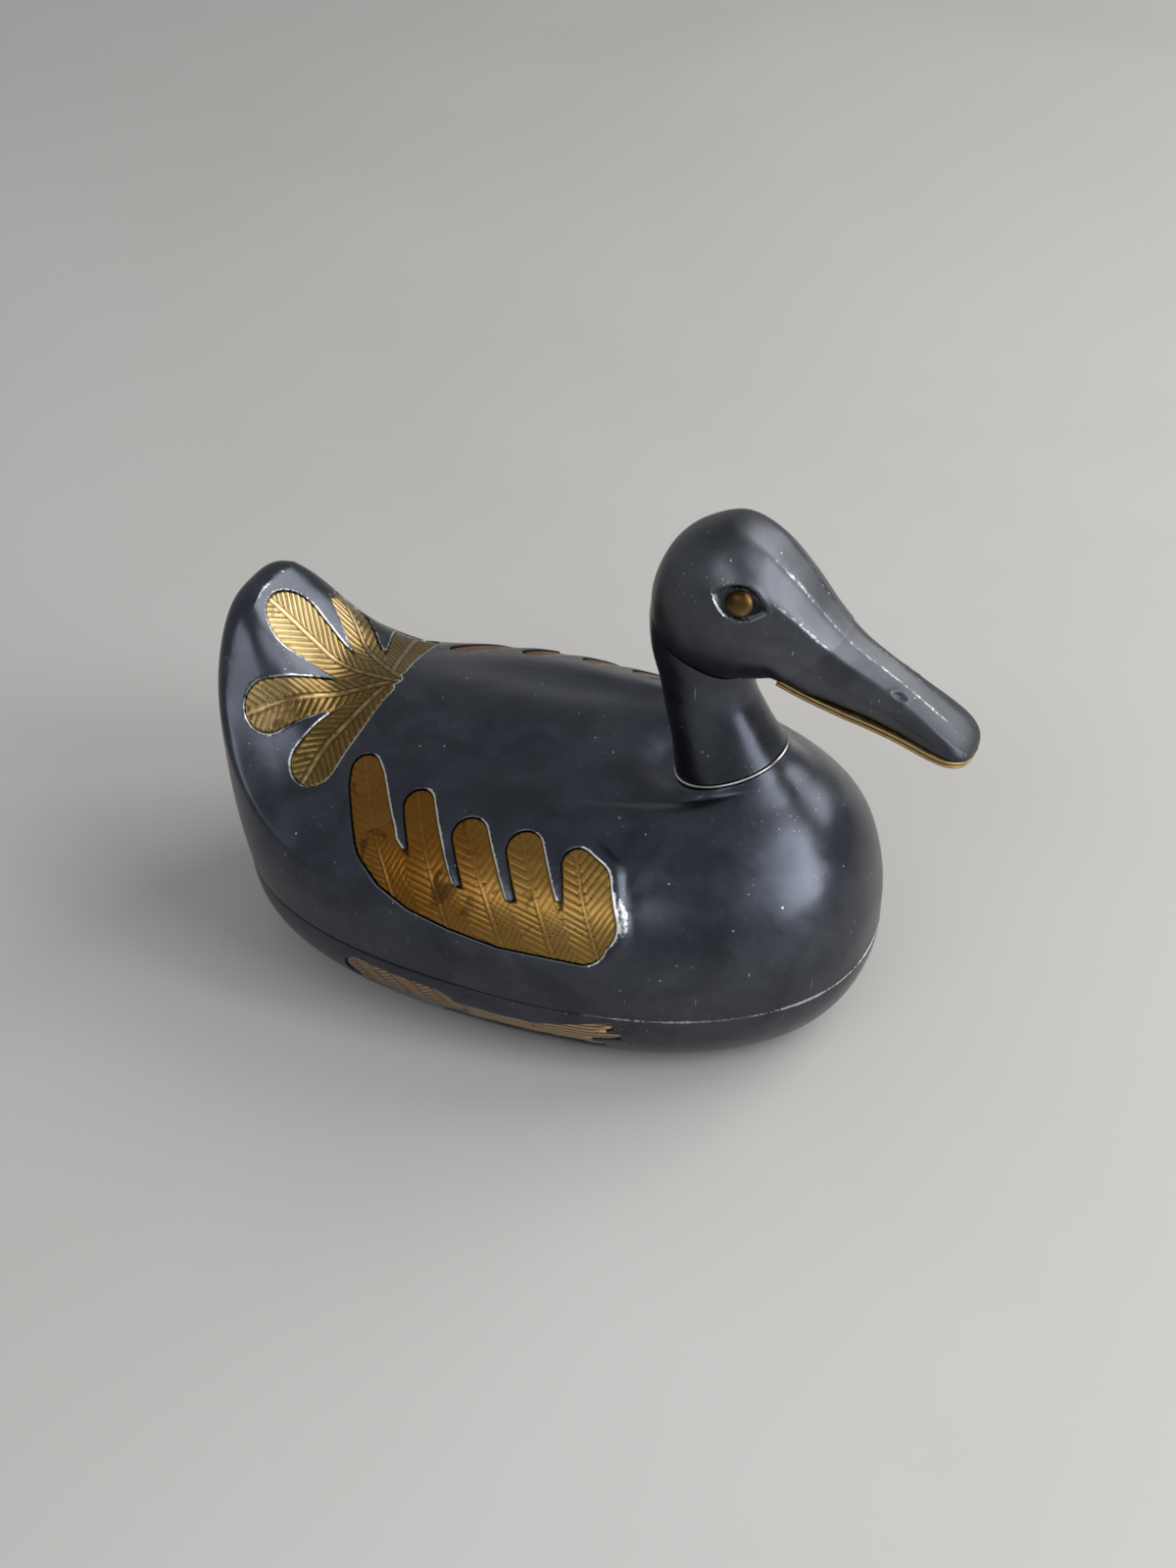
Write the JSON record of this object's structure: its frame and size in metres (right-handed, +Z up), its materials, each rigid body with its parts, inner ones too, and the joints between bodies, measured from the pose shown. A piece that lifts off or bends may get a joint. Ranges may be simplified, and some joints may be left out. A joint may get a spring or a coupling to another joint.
{
  "type": "trinket box",
  "caption": "Duck-shaped metal trinket box: the hollow back, breast and head lift off a shallow bowl; brass feathers and legs show through cut-outs.",
  "frame": {"origin": "middle of the flat underside", "axes": "+X towards the bill, +Y to the duck's left, +Z up"},
  "size_m": [0.2101, 0.122, 0.1478],
  "materials": {
    "pewter": "blue-black patinated pewter, semi-gloss, scuffed",
    "bright_pewter": "bright solder line",
    "brass": "tarnished, stamped brass sheet"
  },
  "bodies": {
    "base": {"base_shell": "pewter", "base_floor": "pewter", "locating_rim": "pewter", "leg_plate_right": "brass", "leg_plate_left": "brass"},
    "lid": {"lid_shell": "pewter", "tail_fan_plate": "brass", "wing_plate_right": "brass", "wing_plate_left": "brass", "neck_seam_ring": "bright_pewter", "neck_tube": "pewter", "head_shell": "pewter", "bill_top": "pewter", "bill_plate": "brass", "lower_bill": "brass", "eye_right": "brass", "eye_left": "brass"}
  },
  "joints": [
    {"name": "lid_lift", "type": "slide", "parent": "base", "child": "lid", "axis": [0, 0, 1], "range_m": [0, 0.1]}
  ]
}
